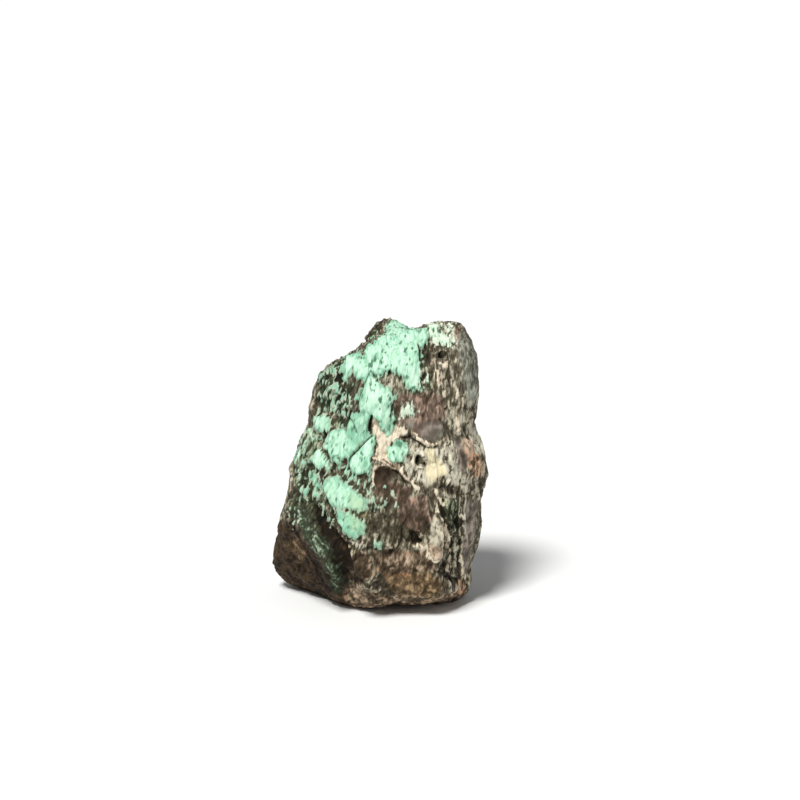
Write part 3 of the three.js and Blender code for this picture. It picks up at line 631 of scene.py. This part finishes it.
rims = into_lines(close_face, RIMS)
vein_front = np.maximum(into_any(face, VEIN) + 0.1 + 0.5 * fray, 2 * rims) + front_limit
vein_back = into_lines(rear + drift, BACK_VEIN) + back_limit
vein = np.maximum(vein_front, vein_back) + 0.3 * fray + 0.7 * fleck
vein = vein + 0.15 * cloud(from_heart, (1.2, 1.2, 1.2), 41.3)

# ---------------------------------------------------------------- stains
# Each place or stroke also makes the rock lighter or darker, and stands up from it or sinks into it. Where
# a place is darker because it is sunk or turned away from the light, the darkening is painted shade.
STAINS = ["smooth", "flecked", "purple", "peach", "ochre", "rust", "olive", "yellow", "white", "dusty"]
CLOUDY_STAINS = ["flecked", "purple", "peach", "ochre", "rust", "olive"]
masks = {name: np.zeros(len(place)) for name in STAINS}
rise = np.zeros(len(place))
light = elsewhere * 0.25 * cloud(from_heart, (4.5, 4.5, 5.5), 4.1)
for width, height, lighter, line in STROKES:
    near = falloff(from_line(close_face, line) + 0.1 * fray, width) * front
    rise = rise + height * near
    light = light + lighter * near
for width, height, line in LIPS:
    rise = rise + height * falloff(from_line(face, line) + 0.3 * fray, width) * front
for softness, height, lighter, stains, outline in MARKS:
    inside = ramp(into_outline(loose_face, outline) + 0.5 * fray, -softness, softness) * front
    rise = rise + height * inside
    light = light + lighter * inside
    for name in stains.split():
        masks[name] = np.maximum(masks[name], inside)
for number, name in enumerate(CLOUDY_STAINS):
    stained = ramp(cloud(from_heart, (5.5, 5.5, 7.0), 1.7 + 2.3 * number), 0.05, 0.4)
    masks[name] = np.maximum(masks[name], 0.5 * elsewhere * stained)

# ---------------------------------------------------------------- cracks and pits
PIT_FLOOR = 0.45            # shares of a pit's radius at which its floor ends and its rim begins
PIT_RIM = 1.15
crack = np.zeros(len(place))
for width, deep, line in CRACKS:
    near = falloff(from_line(face + 0.25 * drift, line), width)
    crack = np.maximum(crack, deep * near * front)
pit = np.zeros(len(place))
for spots, on_side, share in ((PITS, face, front), (BACK_PITS, rear, back)):
    for across, up, radius, deep in spots:
        gap = np.hypot(on_side[:, 0] - across, on_side[:, 1] - up) + 0.25 * fray + 0.3 * fleck
        pit = np.maximum(pit, deep * (1 - ramp(gap, radius * PIT_FLOOR, radius * PIT_RIM)) * share)

# ---------------------------------------------------------------- relief
RIDGE_HEIGHT = 0.18         # ridges and strands along the grain
STRAND_HEIGHT = 0.12
LUMP_HEIGHT = 0.08          # the crust's own lumps
KNOB_HEIGHT = 0.14
CHIP_HEIGHT = 0.3           # leaning broken facets, and the crevices between them
CREVICE_DEPTH = 0.25
CRUST_HEIGHT = 0.2          # what lies on the rock
VEIN_HEIGHT = 0.14
SAGE_HEIGHT = 0.12
SWELL_HEIGHT = 0.16         # slow swells of the whole surface
GROOVE_DEPTH = 0.2          # groove in the rock along the crust's edge
strands = cloud(grain, (0.42, 0.42, 1.7), 4.4)
ridges = 1 - 2 * np.abs(cloud(grain, (1.3, 1.3, 3.4), 2.2))
knobs = cloud(from_heart, (0.9, 0.9, 1.2), 6.6)
lumps = cloud(grain, (0.7, 0.7, 1.1), 5.2)
swells = cloud(from_heart, (2.2, 2.2, 2.8), 3.7)
lean_of_chip, gap_of_chip = chips(grain, (1.6, 1.6, 2.8), 1.3)
rough = 1 - 0.8 * masks["smooth"] - 0.15 * masks["purple"]
step = ramp(crust, -0.2, 0.3)
bare = 1 - 0.7 * step
creviced = ramp(cloud(from_heart, (3.0, 3.0, 3.6), 8.1), -0.2, 0.2)
crevice = (1 - ramp(gap_of_chip, 0.0, 0.2)) * creviced * rough
texture = (
    RIDGE_HEIGHT * ridges * rough * bare
    + STRAND_HEIGHT * strands * rough
    + LUMP_HEIGHT * lumps * step
    + KNOB_HEIGHT * knobs * rough * bare
    + CHIP_HEIGHT * lean_of_chip * rough * bare
    - CREVICE_DEPTH * crevice * bare
)
relief = (
    texture
    + CRUST_HEIGHT * step
    - SETTLED
    + VEIN_HEIGHT * ramp(vein, -0.1, 0.25)
    + SAGE_HEIGHT * ramp(sage, -0.2, 0.3)
    + SWELL_HEIGHT * swells
    + rise
    - GROOVE_DEPTH * ramp(-crust, 0.0, 0.3) * ramp(crust, -0.8, -0.3)
    - crack
    - pit
)
relief = relief * ramp(place[:, 2], 0.0, BASE_FADE)

RAISED = 0.8                # the most that anything stands up
SUNK = 1.2                  # and the most that anything is sunk
for name, most, sign in (("sunk", SUNK, -1), ("raised", RAISED, 1)):
    weigh(stone, name, np.clip(sign * relief / most, 0, 1))
    strength = sign * most * MM
    apply(stone, "DISPLACE", direction="NORMAL", vertex_group=name, strength=strength, mid_level=0.0)
stone.vertex_groups.clear()
apply(stone, "SMOOTH", factor=0.4, iterations=1)

# ---------------------------------------------------------------- what the material reads
FULL_TEXTURE = 0.25         # texture this high or deep counts as full
grain_attribute = stone.data.attributes.new("grain", "FLOAT_VECTOR", "POINT")
grain_attribute.data.foreach_set("vector", grain.astype(np.float32).ravel())
attributes = {
    "crust": np.clip(crust, -1.5, 0.6),
    "vein": np.clip(vein, -1.5, 0.4),
    "sage": np.clip(sage, -1.5, 0.5),
    # the relief, which the colour follows as painted shade where it is low and painted highlight where it
    # is high
    "texture": np.clip(texture / FULL_TEXTURE, -1, 1),
    "light": light,
    # darkness of cracks, pits and crevices, painted as shade
    "painted_hollow_shade": np.clip(2.2 * crack + 1.3 * pit + 0.35 * crevice * bare, 0, 1),
    **masks,
}
for name, values in attributes.items():
    keep_mask(stone, name, values)

# ---------------------------------------------------------------- fewer faces away from the front
weigh(stone, "plainer", elsewhere)
apply(stone, "DECIMATE", ratio=FACES_KEPT, vertex_group="plainer", vertex_group_factor=1.0)
stone.vertex_groups.clear()
bpy.ops.object.select_all(action="DESELECT")


def linear(shade):
    """An sRGB hex colour as the linear values that a shader takes."""
    parts = [int(shade[start:start + 2], 16) / 255 for start in (1, 3, 5)]
    lit = [part / 12.92 if part <= 0.04045 else ((part + 0.055) / 1.055) ** 2.4 for part in parts]
    return (*lit, 1.0)


def add(tree, kind, inputs=None, **settings):
    """Adds a node, with its settings, its values and its links."""
    node = tree.nodes.new("ShaderNode" + kind)
    for name, value in settings.items():
        setattr(node, name, value)
    for socket, value in (inputs or {}).items():
        if isinstance(value, bpy.types.NodeSocket):
            tree.links.new(value, node.inputs[socket])
        else:
            node.inputs[socket].default_value = value
    return node


def new_material(name):
    material = bpy.data.materials.new(name)
    material.use_nodes = True
    material.node_tree.nodes.clear()
    return material


# ---------------------------------------------------------------- weathered chrysocolla in ironstone
# A natural broken surface, never cut or polished: dull, grainy and streaked along its growth, with a mint
# crust of copper silicate over brown iron-stained rock. Silicates have an IOR near 1.5; all of it is rough.
FIBRE = (0.4, 0.4, 1.1)          # mm, a single stroke of the grain
BAND = (0.9, 0.9, 2.0)           # mm, a bundle of them
PORE = (0.7, 0.7, 1.4)           # mm, from one pore in the crust to the next
STRAND = (0.35, 0.35, 1.3)       # mm, a strand of the thin dull crust, which runs down its ridge
RIDGE_LEAN = math.radians(-31)
GRIT = 0.3                       # mm, weathered grains
PATCH = 1.5                      # mm, cloudy change of colour
BUMP = 0.00012                   # m, depth of the fibres and the grit
BUMP_STRENGTH = 0.8
SILICATE_IOR = 1.5
DULLNESS = 0.2                   # pores and dust swallow much of the gloss of a silicate
rock = new_material("weathered_chrysocolla_on_ironstone")
tree = rock.node_tree
mask = {name: add(tree, "Attribute", attribute_name=name).outputs["Fac"] for name in attributes}
along = add(tree, "Attribute", attribute_name="grain").outputs["Vector"]
body = add(tree, "TexCoord").outputs["Object"]

fibre_at = add(tree, "Mapping", {"Vector": along, "Scale": [1 / size for size in FIBRE]}).outputs[0]
band_at = add(tree, "Mapping", {"Vector": along, "Scale": [1 / size for size in BAND]}).outputs[0]
pore_at = add(tree, "Mapping", {"Vector": along, "Scale": [1 / size for size in PORE]}).outputs[0]
grit_at = add(tree, "Mapping", {"Vector": body, "Scale": [1 / (GRIT * MM)] * 3}).outputs[0]
patch_at = add(tree, "Mapping", {"Vector": body, "Scale": [1 / (PATCH * MM)] * 3}).outputs[0]
# A mapping of the texture kind turns the pattern, then divides by its scale, so it takes the size itself.
strand_inputs = {"Vector": body, "Rotation": (0, RIDGE_LEAN, 0), "Scale": [size * MM for size in STRAND]}
strand_at = add(tree, "Mapping", strand_inputs, vector_type="TEXTURE").outputs[0]

PLAIN = {"Scale": 1.0, "Detail": 1.0, "Roughness": 0.5}     # the mapping has already given the size
fibre = add(tree, "TexNoise", {**PLAIN, "Vector": fibre_at, "Distortion": 0.5}).outputs[0]
band = add(tree, "TexNoise", {**PLAIN, "Vector": band_at, "Detail": 2.0, "Roughness": 0.6,
                              "Distortion": 0.8}).outputs[0]
pore = add(tree, "TexNoise", {**PLAIN, "Vector": pore_at}).outputs[0]
grit = add(tree, "TexNoise", {**PLAIN, "Vector": grit_at}).outputs[0]
patch = add(tree, "TexNoise", {**PLAIN, "Vector": patch_at, "Detail": 2.0}).outputs[0]
strand = add(tree, "TexNoise", {**PLAIN, "Vector": strand_at}).outputs[0]


def total(*parts, base=0.0):
    """Adds up sockets, each times a number."""
    result = base
    for socket, factor in parts:
        result = add(tree, "Math", {0: socket, 1: factor, 2: result}, operation="MULTIPLY_ADD").outputs[0]
    return result


# How light the rock is at each point: its streaks, painted shade in the relief's low places and painted
# highlight on its high ones, and how much lighter or darker each stain makes it, painted shade included.
tone = total((fibre, 0.9), (band, 0.45), (grit, 0.2), (mask["texture"], 0.12), base=-0.775)
calm = total((mask["smooth"], -0.4), (mask["purple"], -0.5), (mask["ochre"], -0.5), (mask["peach"], -0.3),
             (mask["flecked"], 0.6), base=1.0)
lumpy = total((mask["smooth"], 0.15), (mask["purple"], 0.1), (mask["ochre"], 0.5), (mask["peach"], 0.4),
              base=0.16)
lump = total((patch, 1.0), base=-0.5)
marked = add(tree, "Math", {0: lump, 1: lumpy, 2: mask["light"]}, operation="MULTIPLY_ADD").outputs[0]
lightness = add(tree, "Math", {0: tone, 1: calm, 2: marked}, operation="MULTIPLY_ADD").outputs[0]
signals = {**mask, "pore": pore, "strand": strand, "fibre": fibre, "band": band, "patch": patch,
           "tone": tone, "lightness": lightness}

# Each coat covers what is under it: its colour, where it starts, where it is full, and what it follows.
ROCK = "#1A160D"
ROCK_COATS = [
    # brown over the black of the gaps, the grey-brown body, and weathered grain
    ("#443D2E", -0.32, -0.06, {"lightness": 1.0}),
    ("#686252", -0.06, 0.08, {"lightness": 1.0}),
    ("#A19A86", 0.06, 0.20, {"lightness": 1.0}),
    # green-black line at the crust: a dark-green stain with painted shade along the crust's edge
    ("#2B3322", -0.35, 0.10, {"crust": 1.0, "lightness": 0.4}),
    # pale flecks, and chalky places
    ("#C6C1AD", 0.18, 0.34, {"lightness": 1.0}),
    ("#DED8C4", 0.34, 0.60, {"lightness": 1.0}),
    ("#F0EBDC", 0.55, 0.85, {"lightness": 1.0}),
]
# A tint multiplies what is under it.
TINTS = [
    ("#FFE6E9", 0.20, 0.80, {"purple": 1.0, "smooth": -0.35, "tone": 0.5}),  # purple-brown iron oxide
    ("#EBF6FF", 0.10, 0.90, {"smooth": 1.0}),                                # greyer where it is smooth
    ("#FFE9E1", 0.20, 0.80, {"peach": 1.0, "tone": 0.8}),                    # pinkish clay
    ("#FFE1C6", 0.10, 0.90, {"ochre": 1.0, "tone": 0.2}),                    # ochre earth
    ("#FFDCCB", 0.20, 0.80, {"rust": 1.0, "tone": 1.5}),                     # rust
    ("#E4FDEF", 0.20, 0.80, {"olive": 1.0, "tone": -0.5}),                   # copper in the rock
    ("#FFF8E0", 0.05, 0.95, {"yellow": 1.0, "tone": 1.0}),                   # yellow limonite
    ("#E9F4EC", -0.90, -0.10, {"crust": 1.0}),                               # green dust round the crust
]
COVER_COATS = [
    # thin dull crust: dark in its gaps, then its strands
    ("#2E3526", -0.45, -0.10, {"sage": 1.0, "tone": 0.3}),
    ("#5A6752", 0.72, 1.10, {"sage": 1.0, "strand": 1.6}),
    ("#A4B39A", 1.26, 1.74, {"sage": 1.0, "strand": 2.0}),
    # cream vein: browner at its edge, then its pink places
    ("#7F6F5C", -0.20, 0.00, {"vein": 1.0, "tone": 1.5}),
    ("#B3A48B", -0.05, 0.20, {"vein": 1.0, "tone": 2.2}),
    ("#DBD0B9", 0.12, 0.55, {"vein": 1.0, "tone": 3.0}),
    ("#D6C1AD", 1.10, 1.50, {"vein": 1.0, "patch": 1.5, "tone": -1.0}),
    # the crust: dull at its edge, with whitish crumbs, mint over most of it, and palest where it is powdery
    ("#748570", -0.14, 0.02, {"crust": 1.0, "tone": 1.0}),
    ("#B2BEA6", -0.02, 0.30, {"crust": 1.0, "tone": 2.0}),
    ("#80B597", 0.04, 0.20, {"crust": 1.0, "dusty": -0.12, "tone": 1.2}),
    ("#A9D4B6", 0.92, 1.42, {"crust": 0.7, "band": 1.0, "fibre": 0.8, "light": 0.8}),
    ("#CCEBD3", 1.10, 1.66, {"crust": 0.6, "band": 1.2, "fibre": 0.6, "light": 0.8}),
    # its pores, its sallow places and its chalky ones
    ("#4F785E", 0.44, 0.58, {"crust": 0.2, "pore": 1.0, "band": -0.5}),
    ("#A6C29A", 0.72, 1.85, {"crust": 0.5, "yellow": 1.0, "tone": 0.8}),
    ("#D0DBC5", 0.75, 1.25, {"crust": 0.4, "white": 1.0, "tone": 2.0}),
    # painted shade in pits, breaks and crevices
    ("#221D13", 0.15, 0.80, {"painted_hollow_shade": 1.0}),
]


def coated(under, coats, blend="MIX"):
    """The colour after each coat, in order."""
    for shade, start, full, follows in coats:
        amount = total(*[(signals[name], factor) for name, factor in follows.items()])
        share = add(tree, "MapRange", {"Value": amount, "From Min": start, "From Max": full},
                    interpolation_type="SMOOTHSTEP").outputs[0]
        mix = add(tree, "Mix", {0: share, 6: under, 7: linear(shade)}, data_type="RGBA", blend_type=blend)
        under = mix.outputs[2]
    return under


colour = coated(linear(ROCK), ROCK_COATS)
colour = coated(colour, TINTS, "MULTIPLY")
colour = coated(colour, COVER_COATS)
roughness = total((mask["smooth"], -0.2), (fibre, -0.2), base=0.92)
height = total((fibre, 0.65), (grit, 0.35))
bump = add(tree, "Bump", {"Height": height, "Distance": BUMP, "Strength": BUMP_STRENGTH}).outputs[0]
surface = add(tree, "BsdfPrincipled", {"Base Color": colour, "Roughness": roughness, "Normal": bump,
                                       "IOR": SILICATE_IOR, "Specular IOR Level": DULLNESS})
add(tree, "OutputMaterial", {"Surface": surface.outputs[0]})
stone.data.materials.append(rock)
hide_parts("chrysocolla_specimen")
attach(stone, "root")

# ---------------------------------------------------------------- floor
FLOOR_RADIUS = 3.0               # m, wide enough that its edge is out of the camera's view
FLOOR_SIDES = 128
bpy.ops.mesh.primitive_circle_add(
    vertices=FLOOR_SIDES, radius=FLOOR_RADIUS, fill_type="NGON", location=(0, 0, 0)
)
floor = bpy.context.object
floor.name = "floor"
paper = new_material("matte_white_paper")
sheet = add(paper.node_tree, "BsdfPrincipled", {"Base Color": linear("#F2F2F0"), "Roughness": 0.9})
add(paper.node_tree, "OutputMaterial", {"Surface": sheet.outputs[0]})
floor.data.materials.append(paper)

# ---------------------------------------------------------------- light
SKY_STRENGTH = 0.26
KEY_FROM = (-0.24, -0.52, 0.82)  # up, in front and a little to the left
KEY_STRENGTH = 3.7
KEY_SOFTNESS = math.radians(16)
world = bpy.data.worlds.new("soft_studio")
world.use_nodes = True
world.node_tree.nodes.clear()
sky = add(world.node_tree, "Background", {"Color": linear("#FBFDFF"), "Strength": SKY_STRENGTH})
add(world.node_tree, "OutputWorld", {"Surface": sky.outputs[0]})
bpy.context.scene.world = world

bpy.ops.object.light_add(type="SUN", location=Vector(HEART) * MM + 0.5 * Vector(KEY_FROM))
key = bpy.context.object
key.name = "key"
key.data.energy = KEY_STRENGTH
key.data.angle = KEY_SOFTNESS
key.rotation_euler = (-Vector(KEY_FROM)).to_track_quat("-Z", "Y").to_euler()

# ---------------------------------------------------------------- camera
# It stands off from the heart along TOWARDS, and is aimed a little right of the heart and above it.
EYE_DISTANCE = 380
AIM_ACROSS = 3.14
AIM_UP = 9.67
LENS = 112.87                    # mm, over a sensor of this width
SENSOR = 36
CLIP_START = 0.01                # m
eye = HEART + EYE_DISTANCE * TOWARDS
aim = HEART + AIM_ACROSS * ACROSS + AIM_UP * UP
bpy.ops.object.camera_add(location=Vector(eye) * MM)
camera = bpy.context.object
camera.rotation_euler = Vector(aim - eye).to_track_quat("-Z", "Y").to_euler()
camera.data.lens = LENS
camera.data.sensor_width = SENSOR
camera.data.clip_start = CLIP_START
bpy.context.scene.camera = camera
bpy.context.scene.view_settings.view_transform = "Standard"
